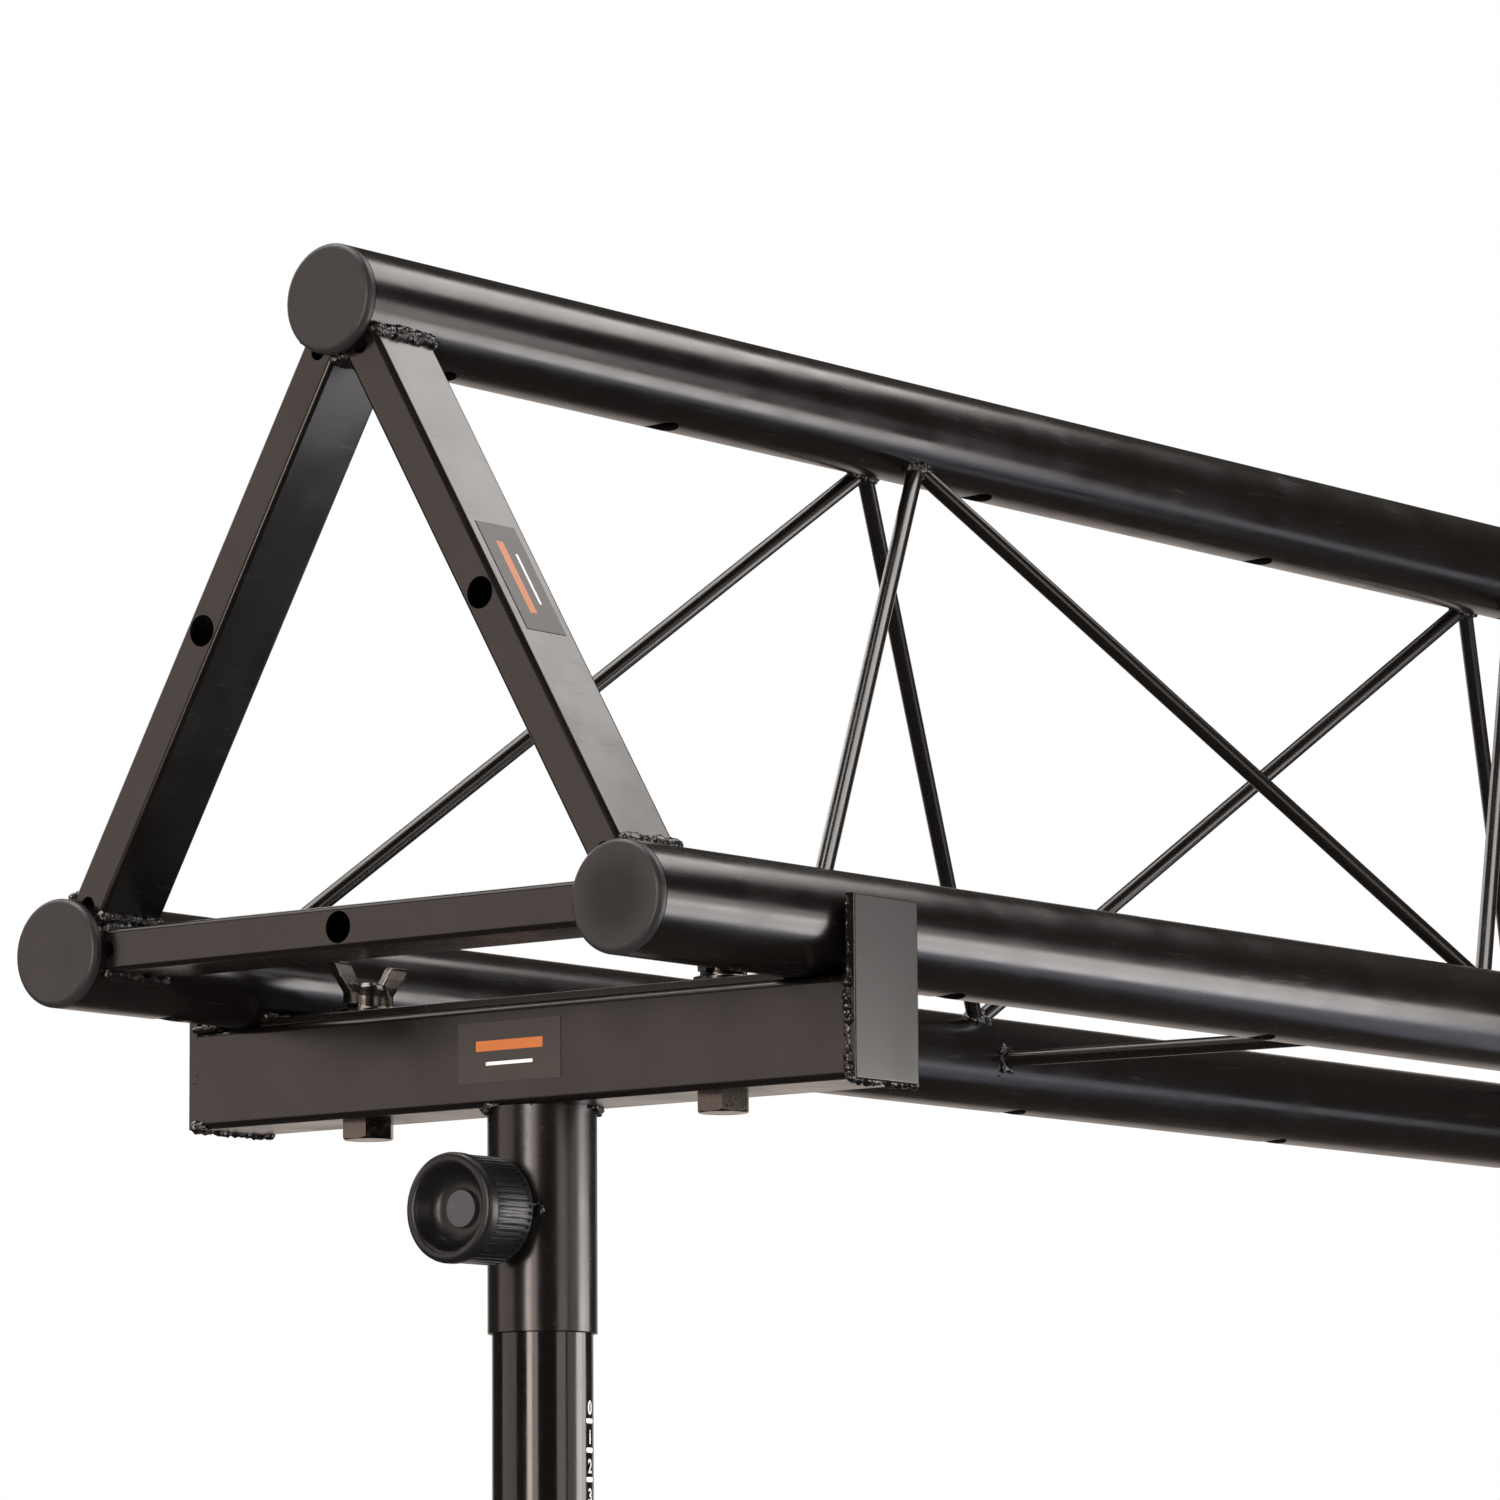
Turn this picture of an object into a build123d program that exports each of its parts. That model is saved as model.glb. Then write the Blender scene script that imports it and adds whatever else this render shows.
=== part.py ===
"""Triangular lighting truss section on a T-bar stand adapter and its mast.

Frame: the origin is the centre of the mast's lower end, +Z runs up the mast,
+X runs along the truss away from the mast and +Y points at the rear chord.
All sizes are in millimetres.
"""
from build123d import *
import math
import os

# Mast and the adapter socket that drops over it
mast_od = 35.0
mast_wall = 1.5
mast_len = 400.0
mast_fit = 0.3  # radial play of the socket on the mast
mast_end_gap = 0.3  # between the mast's top and the crossbar's underside
socket_wall = 1.2
socket_len = 78.0
socket_edge_r = 0.4

# Adapter crossbar, square tube, with a plate welded on each end
crossbar_w = 35.0
crossbar_wall = 2.0
crossbar_corner_r = 2.5
side_play = 2.0  # between a lower chord and the end plate beside it
plate_t = 4.0
plate_rise = 8.0  # above the axis of the lower chords
plate_edge_r = 0.6

# Truss chords, round tube, and their plastic end caps
truss_len = 1500.0
truss_overhang = 113.0  # from the mast's axis back to the near end
chord_od = 38.0
chord_wall = 2.0
chord_span = 250.0  # between the axes of the two lower chords
truss_height = 214.0  # from the lower chords' axes to the top chord's axis
cap_flange_t = 4.0
cap_edge_r = 2.2
cap_joint_r = 0.5  # on the flange's edge beside the chord
cap_plug_len = 16.0
cap_plug_wall = 2.0
cap_fit = 0.15

# Holes in the underside of each chord
vent_d = 13.0
vent_end_x = 58.0  # outermost hole, from either end
vent_first_x = 180.0  # first hole of the even row, from either end
vent_gaps = 6

# End frames, rectangular tube coped onto the chords
bar_depth = 30.0  # along the truss
bar_w = 15.0
bar_wall = 1.5
bar_corner_r = 2.0
bar_setback = 6.5  # from the cap's face
joint_hole_d = 11.0
cope_notch_r = 3.0

# Lattice struts, round rod
strut_d = 6.3
strut_bite = 1.5  # how far below the chord's skin a strut's line aims
strut_overrun = 6.0
bay_pitch = 417.0
bays = 3
front_foot_x = 121.0
front_top_x = 321.0
rear_foot_x = 108.0
rear_top_x = 312.0
tie_front_shift = 9.0  # floor tie, beyond the front strut foot beside it
tie_rear_shift = 6.0

# Mounting straps, flat bar between the lower chords
strap_w = 30.0
strap_t = 3.0
strap_end_inset = 7.0  # from the chord's axis line
strap_edge_r = 0.5

# Crossbar bolts, washers and wing nuts
bolt_d = 10.0
bolt_hole_d = 11.0
bolt_inset = 45.0  # from a lower chord's axis to the bolt beside it
bolt_head_af = 17.0
bolt_head_h = 6.4
bolt_head_turn = 36.0
hex_edge = 0.8  # chamfer on the corners of a hexagon's free face
bolt_stickout = 1.0
bolt_tip_edge = 1.0
washer_od = 20.0
washer_id = 10.5
washer_t = 2.0
washer_edge = 0.3
thread_fit = 0.05
hub_r = 7.8
hub_top_r = 6.3
hub_h = 8.0
wing_t = 2.5
wing_tip_x = 18.0
wing_h = 15.0
wing_w = 7.5
wing_lean = 7.0
wing_edge_r = 1.8

# Mast clamp: weld nut, screw, pad and ribbed knob
clamp_drop = 37.0  # below the crossbar's underside
clamp_nut_af = 17.0
clamp_nut_h = 6.0
clamp_wall_hole_d = 10.6
pad_d = 8.4
pad_t = 1.5
pad_fit = 0.05
knob_nut_gap = 1.0
knob_len = 24.5
knob_r = 19.0
knob_rim_len = 5.0
knob_rim_edge_r = 1.6
knob_barrel_r = 18.6
knob_back_len = 1.0
knob_ribs = 48
knob_groove_r = 0.75
dish_mouth_r = 14.2
dish_floor_r = 9.5
dish_depth = 7.0
dish_edge_r = 1.2
knob_cap_r = 6.3
knob_cap_t = 1.2

# Labels
label_t = 0.2
bar_label = (20.0, 45.0)
bar_label_shift = 2.7  # up the bar from its middle
crossbar_label = (46.0, 21.0)
crossbar_label_lift = 1.4  # above the crossbar's middle

# Places worked out from the sizes above
chord_r = chord_od / 2
socket_id = mast_od + 2 * mast_fit
socket_od = socket_id + 2 * socket_wall
crossbar_z0 = mast_len + mast_end_gap
crossbar_z1 = crossbar_z0 + crossbar_w
crossbar_half = chord_span / 2 + chord_r + side_play
chord_z = crossbar_z1 + chord_r
near_x = -truss_overhang
far_x = near_x + truss_len
strap_z1 = crossbar_z1 + strap_t
bolt_y = chord_span / 2 - bolt_inset
clamp_z = crossbar_z0 - clamp_drop
clamp_nut_x = -socket_od / 2 - clamp_nut_h
knob_back_x = clamp_nut_x - knob_nut_gap
chords = {
    "top": Vector(0, 0, chord_z + truss_height),
    "front": Vector(0, -chord_span / 2, chord_z),
    "rear": Vector(0, chord_span / 2, chord_z),
}
BASE = (Align.CENTER, Align.CENTER, Align.MIN)


def rod(start, end, radius):
    """Solid round bar from one point to another."""
    run = Vector(end) - Vector(start)
    return Plane(origin=start, z_dir=run) * Cylinder(radius, run.length, align=BASE)


def tube(start, end, outer_r, inner_r):
    return rod(start, end, outer_r) - rod(start, end, inner_r)


def at_x(point, x):
    return Vector(x, point.Y, point.Z)


def chord_core(name):
    """The full round space that a chord fills, longer than the truss."""
    axis = chords[name]
    return rod(at_x(axis, near_x - chord_od), at_x(axis, far_x + chord_od), chord_r)


def vent_places():
    last = truss_len - vent_first_x
    step = (last - vent_first_x) / vent_gaps
    row = [vent_first_x + i * step for i in range(vent_gaps + 1)]
    return [vent_end_x] + row + [truss_len - vent_end_x]


def make_chord(name):
    axis = chords[name]
    start = at_x(axis, near_x + cap_flange_t)
    end = at_x(axis, far_x - cap_flange_t)
    chord = tube(start, end, chord_r, chord_r - chord_wall)
    for x in vent_places():
        below = at_x(axis, near_x + x) - Vector(0, 0, chord_r + chord_wall)
        chord -= rod(below, below + Vector(0, 0, 3 * chord_wall), vent_d / 2)
    return chord


def make_cap(name, inward):
    """End cap: a flange with a rounded edge and a hollow plug inside the chord."""
    flange = Cylinder(chord_r, cap_flange_t, align=BASE)
    flange = fillet(flange.edges().group_by(Axis.Z)[0], cap_edge_r)
    flange = fillet(flange.edges().group_by(Axis.Z)[-1], cap_joint_r)
    plug_r = chord_r - chord_wall - cap_fit
    plug = Cylinder(plug_r, cap_plug_len, align=BASE)
    plug -= Cylinder(plug_r - cap_plug_wall, cap_plug_len, align=BASE)
    cap = flange + Pos(0, 0, cap_flange_t) * plug
    face_x = near_x if inward > 0 else far_x
    return Plane(origin=at_x(chords[name], face_x), z_dir=(inward, 0, 0)) * cap


def make_bar(first, second, inward):
    """End-frame bar between two chords, with its joint hole and cope notches."""
    face_x = near_x if inward > 0 else far_x
    mid_x = face_x + inward * (bar_setback + bar_depth / 2)
    start = at_x(chords[first], mid_x)
    end = at_x(chords[second], mid_x)
    run = end - start
    outer = RectangleRounded(bar_depth, bar_w, bar_corner_r)
    bore = RectangleRounded(bar_depth - 2 * bar_wall, bar_w - 2 * bar_wall, bar_corner_r - bar_wall)
    section = Plane(origin=start, x_dir=(1, 0, 0), z_dir=run) * (outer - bore)
    bar = extrude(section, run.length, dir=run.normalized())
    bar = bar - chord_core(first) - chord_core(second)
    through = Vector(bar_depth, 0, 0)
    middle = (start + end) * 0.5
    bar -= rod(middle - through, middle + through, joint_hole_d / 2)
    outer_face = Vector(-inward * bar_depth / 2, 0, 0)
    skin = Vector(bar_wall, 0, 0)
    for centre, along in ((start, run.normalized()), (end, -run.normalized())):
        notch = centre + along * chord_r + outer_face
        bar -= rod(notch - skin, notch + skin, cope_notch_r)
    return bar


def make_strut(lower, foot_x, top_x, foot_open):
    """Lattice rod from a lower chord to the top chord, mitred against its neighbours."""
    up = (chords["top"] - chords[lower]).normalized()
    foot = at_x(chords[lower], near_x + foot_x) + up * (chord_r - strut_bite)
    top = at_x(chords["top"], near_x + top_x) - up * (chord_r - strut_bite)
    run = (top - foot).normalized() * strut_overrun
    strut = rod(foot - run, top + run, strut_d / 2)
    strut = strut - chord_core(lower) - chord_core("top")
    side = 1 if top_x > foot_x else -1
    foot_end = foot.X - side * (strut_d * 2 if foot_open else 0)
    slab_mid = (foot_end + top.X) / 2
    slab = Box(abs(top.X - foot_end), 2 * chord_span, 4 * truss_height)
    return strut & (Pos(slab_mid, 0, chord_z + truss_height / 2) * slab)


def make_struts(lower, foot_x, top_x):
    """All struts of one side face, numbered from the near end."""
    struts = []
    for i in range(bays):
        foot = foot_x + i * bay_pitch
        top = top_x + i * bay_pitch
        struts.append(make_strut(lower, foot, top, foot_open=i == 0))
        struts.append(make_strut(lower, foot + bay_pitch, top, foot_open=i == bays - 1))
    return struts


def make_tie(number):
    """Floor tie between the lower chords, beside the strut feet."""
    front = at_x(chords["front"], near_x + front_foot_x + number * bay_pitch + tie_front_shift)
    rear = at_x(chords["rear"], near_x + rear_foot_x + number * bay_pitch + tie_rear_shift)
    return rod(front, rear, strut_d / 2) - chord_core("front") - chord_core("rear")


def drill_z(shape, x, z0, z1, diameter):
    """Two vertical holes at the bolt positions."""
    for y in (-bolt_y, bolt_y):
        shape -= rod((x, y, z0), (x, y, z1), diameter / 2)
    return shape


def make_strap(x):
    half = chord_span / 2 - strap_end_inset
    strap = Box(strap_w, 2 * half, strap_t, align=BASE)
    strap = Pos(x, 0, crossbar_z1) * fillet(strap.edges().filter_by(Axis.Y), strap_edge_r)
    strap = strap - chord_core("front") - chord_core("rear")
    return drill_z(strap, x, crossbar_z1 - strap_t, strap_z1 + strap_t, bolt_hole_d)


def make_crossbar():
    outer = RectangleRounded(crossbar_w, crossbar_w, crossbar_corner_r)
    inner_w = crossbar_w - 2 * crossbar_wall
    inner = RectangleRounded(inner_w, inner_w, crossbar_corner_r - crossbar_wall)
    start = Plane(origin=(0, -crossbar_half, crossbar_z0 + crossbar_w / 2), z_dir=(0, 1, 0))
    bar = extrude(start * (outer - inner), 2 * crossbar_half, dir=(0, 1, 0))
    return drill_z(bar, 0, crossbar_z0 - crossbar_wall, crossbar_z1 + crossbar_wall, bolt_hole_d)


def make_end_plate(side):
    height = chord_z + plate_rise - crossbar_z0
    plate = Box(crossbar_w, plate_t, height, align=BASE)
    outer_face = plate.faces().sort_by(Axis.Y)[-1 if side > 0 else 0]
    plate = fillet(outer_face.edges(), plate_edge_r)
    return Pos(0, side * (crossbar_half + plate_t / 2), crossbar_z0) * plate


def make_socket():
    socket = tube((0, 0, crossbar_z0 - socket_len), (0, 0, crossbar_z0), socket_od / 2, socket_id / 2)
    mouth = socket.edges().group_by(Axis.Z)[0].sort_by(SortBy.LENGTH)[-1]
    socket = fillet(mouth, socket_edge_r)
    return socket - rod((-socket_od, 0, clamp_z), (0, 0, clamp_z), clamp_wall_hole_d / 2)


def hexagon(across_flats, height):
    """Hexagon prism whose lower face has its corners turned off."""
    prism = extrude(RegularPolygon(across_flats / 2, 6, major_radius=False), height)
    blank = Cylinder(across_flats / 3**0.5, height, align=BASE)
    return prism & chamfer(blank.edges().group_by(Axis.Z)[0], hex_edge, hex_edge * 2)


def make_clamp_nut():
    nut = Plane(origin=(clamp_nut_x, 0, clamp_z), z_dir=(1, 0, 0)) * hexagon(clamp_nut_af, 2 * clamp_nut_h)
    nut -= rod((0, 0, clamp_z - clamp_drop), (0, 0, crossbar_z0), socket_od / 2)
    return nut - rod((-socket_od, 0, clamp_z), (0, 0, clamp_z), bolt_d / 2 + thread_fit)


def make_pad():
    """Pressure pad at the screw's tip, hollowed to the mast's round."""
    tip_x = -mast_od / 2 - pad_fit
    pad = rod((tip_x - pad_t, 0, clamp_z), (tip_x + pad_t, 0, clamp_z), pad_d / 2)
    return pad - rod((0, 0, clamp_z - pad_d), (0, 0, clamp_z + pad_d), mast_od / 2 + pad_fit)


def make_clamp_screw():
    tip_x = -mast_od / 2 - pad_fit - pad_t
    end_x = knob_back_x - knob_len + dish_depth + knob_cap_t
    return rod((end_x, 0, clamp_z), (tip_x, 0, clamp_z), bolt_d / 2)


def make_knob():
    """Ribbed knob with a dished face; local Z runs from the back to the face."""
    rim = Cylinder(knob_r, knob_rim_len, align=BASE)
    rim = fillet(rim.edges().group_by(Axis.Z)[-1], knob_rim_edge_r)
    ribbed_len = knob_len - knob_rim_len - knob_back_len
    outline = Circle(knob_barrel_r)
    outline -= PolarLocations(knob_barrel_r + knob_groove_r / 3, knob_ribs) * Circle(knob_groove_r)
    knob = Cylinder(knob_barrel_r, knob_back_len, align=BASE)
    knob += Pos(0, 0, knob_back_len) * extrude(outline, ribbed_len)
    knob += Pos(0, 0, knob_len - knob_rim_len) * rim
    floor_z = knob_len - dish_depth
    knob -= Pos(0, 0, floor_z) * Cone(dish_floor_r, dish_mouth_r, dish_depth, align=BASE)
    mouth = knob.edges().group_by(Axis.Z)[-1].sort_by(SortBy.LENGTH)[0]
    knob = fillet(mouth, dish_edge_r)
    knob -= Pos(0, 0, floor_z - knob_cap_t) * Cylinder(knob_cap_r, knob_cap_t, align=BASE)
    knob -= Cylinder(bolt_d / 2, knob_len, align=BASE)
    return Plane(origin=(knob_back_x, 0, clamp_z), z_dir=(-1, 0, 0)) * knob


def make_knob_cap():
    back_x = knob_back_x - knob_len + dish_depth + knob_cap_t
    return rod((back_x, 0, clamp_z), (back_x - knob_cap_t, 0, clamp_z), knob_cap_r)


def make_bolt(y):
    """Hex bolt, head under the crossbar and thread up through the strap."""
    head = Rot(0, 0, bolt_head_turn) * hexagon(bolt_head_af, bolt_head_h)
    length = crossbar_w + strap_t + washer_t + hub_h + bolt_stickout
    shank = Cylinder(bolt_d / 2, length, align=BASE)
    shank = Pos(0, 0, bolt_head_h) * chamfer(shank.edges().group_by(Axis.Z)[-1], bolt_tip_edge)
    return Pos(0, y, crossbar_z0 - bolt_head_h) * (head + shank)


def make_washer(y):
    disc = Cylinder(washer_od / 2, washer_t, align=BASE)
    disc = chamfer(disc.edges().group_by(Axis.Z)[-1], washer_edge)
    return Pos(0, y, strap_z1) * (disc - Cylinder(washer_id / 2, washer_t, align=BASE))


def make_wing_nut(y):
    """Wing nut with its two wings leaning outwards along X."""
    root_x = wing_tip_x - wing_lean - wing_w
    outline = Polyline(
        (root_x, 1.0),
        (root_x + wing_w, 1.0),
        (wing_tip_x, wing_h - wing_edge_r),
        (wing_tip_x - wing_w, wing_h),
        close=True,
    )
    wing_face = make_face(Plane.XZ * outline)
    wing = extrude(wing_face, wing_t / 2, both=True)
    wing = fillet(wing.edges().filter_by(Axis.Y).group_by(Axis.Z)[-1], wing_edge_r)
    nut = Cone(hub_r, hub_top_r, hub_h, align=BASE) + wing + mirror(wing, about=Plane.YZ)
    nut -= Cylinder(bolt_d / 2 + thread_fit, wing_h, align=BASE)
    return Pos(0, y, strap_z1 + washer_t) * nut


def make_bar_label():
    start = chords["front"]
    run = chords["top"] - start
    outward = Vector(0, -run.Z, run.Y).normalized()
    middle = at_x(start + run * 0.5, near_x + bar_setback + bar_depth / 2)
    centre = middle + run.normalized() * bar_label_shift + outward * (bar_w / 2)
    face = Plane(origin=centre, x_dir=(1, 0, 0), z_dir=outward)
    return face * Box(*bar_label, label_t, align=BASE)


def make_crossbar_label():
    centre = (-crossbar_w / 2, 0, crossbar_z0 + crossbar_w / 2 + crossbar_label_lift)
    face = Plane(origin=centre, x_dir=(0, -1, 0), z_dir=(-1, 0, 0))
    return face * Box(*crossbar_label, label_t, align=BASE)


def make_nodes():
    nodes = {f"chord_{name}": make_chord(name) for name in chords}
    pairs = {"floor": ("front", "rear"), "front": ("front", "top"), "rear": ("rear", "top")}
    for end, inward in (("near", 1), ("far", -1)):
        for name in chords:
            nodes[f"cap_{name}_{end}"] = make_cap(name, inward)
        for name, (first, second) in pairs.items():
            nodes[f"frame_bar_{name}_{end}"] = make_bar(first, second, inward)
    for number, strut in enumerate(make_struts("front", front_foot_x, front_top_x), 1):
        nodes[f"strut_front_{number}"] = strut
    for number, strut in enumerate(make_struts("rear", rear_foot_x, rear_top_x), 1):
        nodes[f"strut_rear_{number}"] = strut
    for number in range(1, bays):
        nodes[f"floor_tie_{number}"] = make_tie(number)
    nodes["strap_near"] = make_strap(0)
    nodes["strap_far"] = make_strap(near_x + far_x)
    nodes["crossbar"] = make_crossbar()
    nodes["end_plate_front"] = make_end_plate(-1)
    nodes["end_plate_rear"] = make_end_plate(1)
    nodes["mast_socket"] = make_socket()
    nodes["mast_tube"] = tube((0, 0, 0), (0, 0, mast_len), mast_od / 2, mast_od / 2 - mast_wall)
    nodes["clamp_nut"] = make_clamp_nut()
    nodes["clamp_pad"] = make_pad()
    nodes["clamp_screw"] = make_clamp_screw()
    nodes["knob"] = make_knob()
    nodes["knob_cap"] = make_knob_cap()
    nodes["crossbar_bolts"] = Compound(children=[make_bolt(-bolt_y), make_bolt(bolt_y)])
    for name, y in (("front", -bolt_y), ("rear", bolt_y)):
        nodes[f"washer_{name}"] = make_washer(y)
        nodes[f"wing_nut_{name}"] = make_wing_nut(y)
    nodes["label_frame_bar"] = make_bar_label()
    nodes["label_crossbar"] = make_crossbar_label()
    return nodes


os.makedirs("parts", exist_ok=True)
for node_name, node_shape in make_nodes().items():
    export_step(node_shape, f"parts/{node_name}.step")
    print(node_name, round(node_shape.volume, 1))
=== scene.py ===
"""Finish, welds, fittings and studio for a triangular lighting truss section.

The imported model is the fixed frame. The welds, the printed scale, the wing nuts and the
knob are modelled here, and every other part keeps its own shape and gets its finish.
"""
import math
import random

import bpy
from bpy.props import FloatProperty, FloatVectorProperty, PointerProperty
from mathutils import Matrix, Vector


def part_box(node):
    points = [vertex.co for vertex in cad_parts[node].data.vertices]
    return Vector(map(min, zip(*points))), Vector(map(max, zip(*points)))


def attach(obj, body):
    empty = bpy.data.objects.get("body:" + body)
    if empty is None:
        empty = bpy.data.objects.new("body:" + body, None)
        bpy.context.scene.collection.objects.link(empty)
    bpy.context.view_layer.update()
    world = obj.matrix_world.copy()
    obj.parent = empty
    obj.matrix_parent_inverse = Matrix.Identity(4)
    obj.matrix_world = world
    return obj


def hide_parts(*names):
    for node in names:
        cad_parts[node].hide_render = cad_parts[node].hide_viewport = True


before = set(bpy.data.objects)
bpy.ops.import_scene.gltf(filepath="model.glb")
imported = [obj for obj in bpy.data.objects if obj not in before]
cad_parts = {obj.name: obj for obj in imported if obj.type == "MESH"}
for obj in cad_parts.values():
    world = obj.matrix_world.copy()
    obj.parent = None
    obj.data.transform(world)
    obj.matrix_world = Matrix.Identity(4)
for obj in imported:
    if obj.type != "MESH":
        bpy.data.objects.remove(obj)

bl_info = {
    "name": "Lighting Truss Section",
    "version": (1, 0, 0),
    "blender": (4, 5, 0),
    "location": "3D View > Sidebar > Truss",
    "description": "Finish, welds, fittings and studio for a triangular lighting truss section",
    "category": "Add Mesh",
}


# Sizes and colours


def linear(code):
    """sRGB hex, such as #1f1c1b, as linear red, green and blue."""
    steps = [int(code[i : i + 2], 16) / 255 for i in (1, 3, 5)]
    return tuple(s / 12.92 if s <= 0.04045 else ((s + 0.055) / 1.055) ** 2.4 for s in steps)


def colour(name, description, code):
    shown = linear(code)
    return FloatVectorProperty(
        name=name, description=description, subtype="COLOR", size=3, min=0.0, max=1.0, default=shown
    )


def length(name, description, metres):
    kind = {"subtype": "DISTANCE", "unit": "LENGTH"}
    return FloatProperty(name=name, description=description, default=metres, **kind)


def angle(name, description, degrees):
    turn = math.radians(degrees)
    return FloatProperty(name=name, description=description, subtype="ANGLE", default=turn)


class TrussFinish(bpy.types.PropertyGroup):
    """Colours of the finishes."""

    coat: colour("Powder coat", "Satin powder coat on the truss and its adapter", "#0f0d0c")
    mast: colour("Mast", "Gloss coat on the mast", "#0c0a0a")
    cap: colour("End caps", "Moulded polyethylene of the tube caps", "#272629")
    knob: colour("Knob", "Moulded nylon of the clamp knob", "#141417")
    insert: colour("Knob insert", "Disc in the middle of the knob", "#505056")
    zinc: colour("Black zinc", "Plating on the bolts, washers and nuts", "#605c58")
    label: colour("Label", "Vinyl of the two labels", "#3a3735")
    stripe: colour("Label stripe", "Broad stripe printed on the labels", "#c8743a")
    print_white: colour("Print", "White ink of the scale and the thin label stripe", "#ffffff")


class TrussWelds(bpy.types.PropertyGroup):
    """Sizes of the weld beads."""

    bead_radius: length("Bead radius", "Half the width of a seam weld", 0.0022)
    ripple_pitch: length("Ripple pitch", "Distance between the ripples of a bead", 0.0012)
    grain: length("Grain", "Size of the mesh that fuses the ripples", 0.00055)
    unevenness: length("Unevenness", "Height of the lumps on a bead", 0.0013)


class TrussScale(bpy.types.PropertyGroup):
    """Printed centimetre scale on the mast."""

    first_mark: length("First mark", "Height of the mark for 0 above the mast's lower end", 0.2945)
    pitch: length("Pitch", "Distance between marks", 0.010)
    digit: length("Digit height", "Height of the figures", 0.0048)
    tick_width: length("Tick width", "Width of the bar under a figure", 0.0056)
    tick_height: length("Tick height", "Height of the bar under a figure", 0.0017)
    heading: angle("Heading", "Side of the mast that carries the scale", -73)


class TrussStudio(bpy.types.PropertyGroup):
    """Camera, floor and lights."""

    camera: FloatVectorProperty(
        name="Camera",
        description="Place of the camera",
        subtype="TRANSLATION",
        size=3,
        default=(-1.8481, -1.5442, 0.1851),
    )
    heading: angle("Heading", "Way that the camera looks, from +X", 38.15)
    pitch: angle("Pitch", "How far up the camera looks", 8.04)
    roll: angle("Roll", "Lean of the camera", -0.376)
    lens: FloatProperty(
        name="Lens", description="Focal length on a 36 mm sensor", subtype="DISTANCE_CAMERA", default=167.4
    )
    floor_radius: length("Floor radius", "Radius of the pale floor", 2.2)
    brightness: FloatProperty(
        name="Brightness", description="Strength of all the lights", min=0.0, default=1.0
    )


# name, place, way it faces, width, height, radiance, tint
PANELS = (
    ("upper_softbox", (0.94, -0.51, 1.60), (-0.02, 0.0, -1.0), 1.03, 0.92, 4.4, "#fffaf7"),
    ("low_panel_near", (0.66, -0.55, 0.31), (-0.30, 1.0, 0.05), 0.56, 0.28, 5.6, "#fffaf6"),
    ("low_panel_far", (1.42, -0.60, 0.13), (-0.35, 1.0, 0.25), 0.80, 0.20, 1.1, "#f2f0ff"),
    ("floor_card", (0.90, -0.52, 0.11), (-0.7, 0.45, 0.60), 0.75, 0.26, 0.9, "#e6e8ff"),
    ("side_panel_right", (1.27, -1.51, 0.50), (-1.27, 1.41, 0.0), 0.66, 0.52, 3.4, "#fffaf7"),
    ("side_panel_middle", (0.65, -1.88, 0.50), (-0.65, 1.78, 0.0), 0.80, 0.60, 1.4, "#ffeee2"),
    ("side_panel_left", (-0.26, -1.98, 0.50), (0.26, 1.88, 0.0), 0.75, 0.90, 2.3, "#fff3ea"),
    ("strip", (-1.97, -0.35, 0.50), (1.97, 0.25, 0.0), 0.42, 1.3, 11.0, "#fff0e6"),
    ("strip_shoulder", (-1.84, -0.78, 0.50), (1.84, 0.68, 0.0), 0.40, 1.3, 4.0, "#fff0e6"),
    ("left_softbox", (-1.9, 1.77, 0.75), (1.9, -1.77, -0.2), 2.0, 1.4, 1.35, "#ffeae0"),
    ("upper_left_softbox", (-0.79, 1.68, 2.12), (0.79, -1.68, -1.67), 1.7, 0.7, 2.4, "#fff6f0"),
    ("rear_softbox", (0.9, 2.9, 1.9), (-0.5, -2.9, -1.4), 3.0, 1.7, 2.2, "#fffaf6"),
    ("overhead_left", (-0.35, 0.45, 2.20), (0.25, -0.25, -1.65), 1.4, 1.2, 6.0, "#fffaf6"),
    ("backdrop", (2.52, 1.97, 0.25), (-2.52, -1.97, 0.0), 3.4, 2.2, 0.62, "#fff0e6"),
)


# Tools


def deselect():
    if bpy.context.object and bpy.context.object.mode != "OBJECT":
        bpy.ops.object.mode_set(mode="OBJECT")
    bpy.ops.object.select_all(action="DESELECT")


def only(*objects):
    """Selects these objects and makes the first one active."""
    deselect()
    for item in objects:
        item.select_set(True)
    bpy.context.view_layer.objects.active = objects[0]
    return objects[0]


def settle(item):
    """Moves an object's place into its mesh."""
    only(item)
    bpy.ops.object.transform_apply(location=True, rotation=True, scale=True)
    return item


def joined(name, items):
    only(*items)
    if len(items) > 1:
        bpy.ops.object.join()
    piece = bpy.context.object
    piece.name = name
    piece.data.name = name
    return piece


def modify(item, kind, **settings):
    """Adds a modifier with these settings and applies it."""
    only(item)
    step = item.modifiers.new(kind.title(), kind)
    for key, value in settings.items():
        setattr(step, key, value)
    bpy.ops.object.modifier_apply(modifier=step.name)


def copy_to(item, place, name):
    """A copy of a finished shape, with its own mesh, at a new place."""
    twin = item.copy()
    twin.data = item.data.copy()
    twin.name = name
    bpy.context.scene.collection.objects.link(twin)
    twin.matrix_world = place
    return settle(twin)


def discard(items):
    for item in items:
        mesh = item.data
        bpy.data.objects.remove(item)
        bpy.data.meshes.remove(mesh)


def finish(piece, body, material):
    """Gives a new piece its material, slot and body."""
    piece.data.materials.clear()
    piece.data.materials.append(material)
    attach(piece, body)


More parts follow.
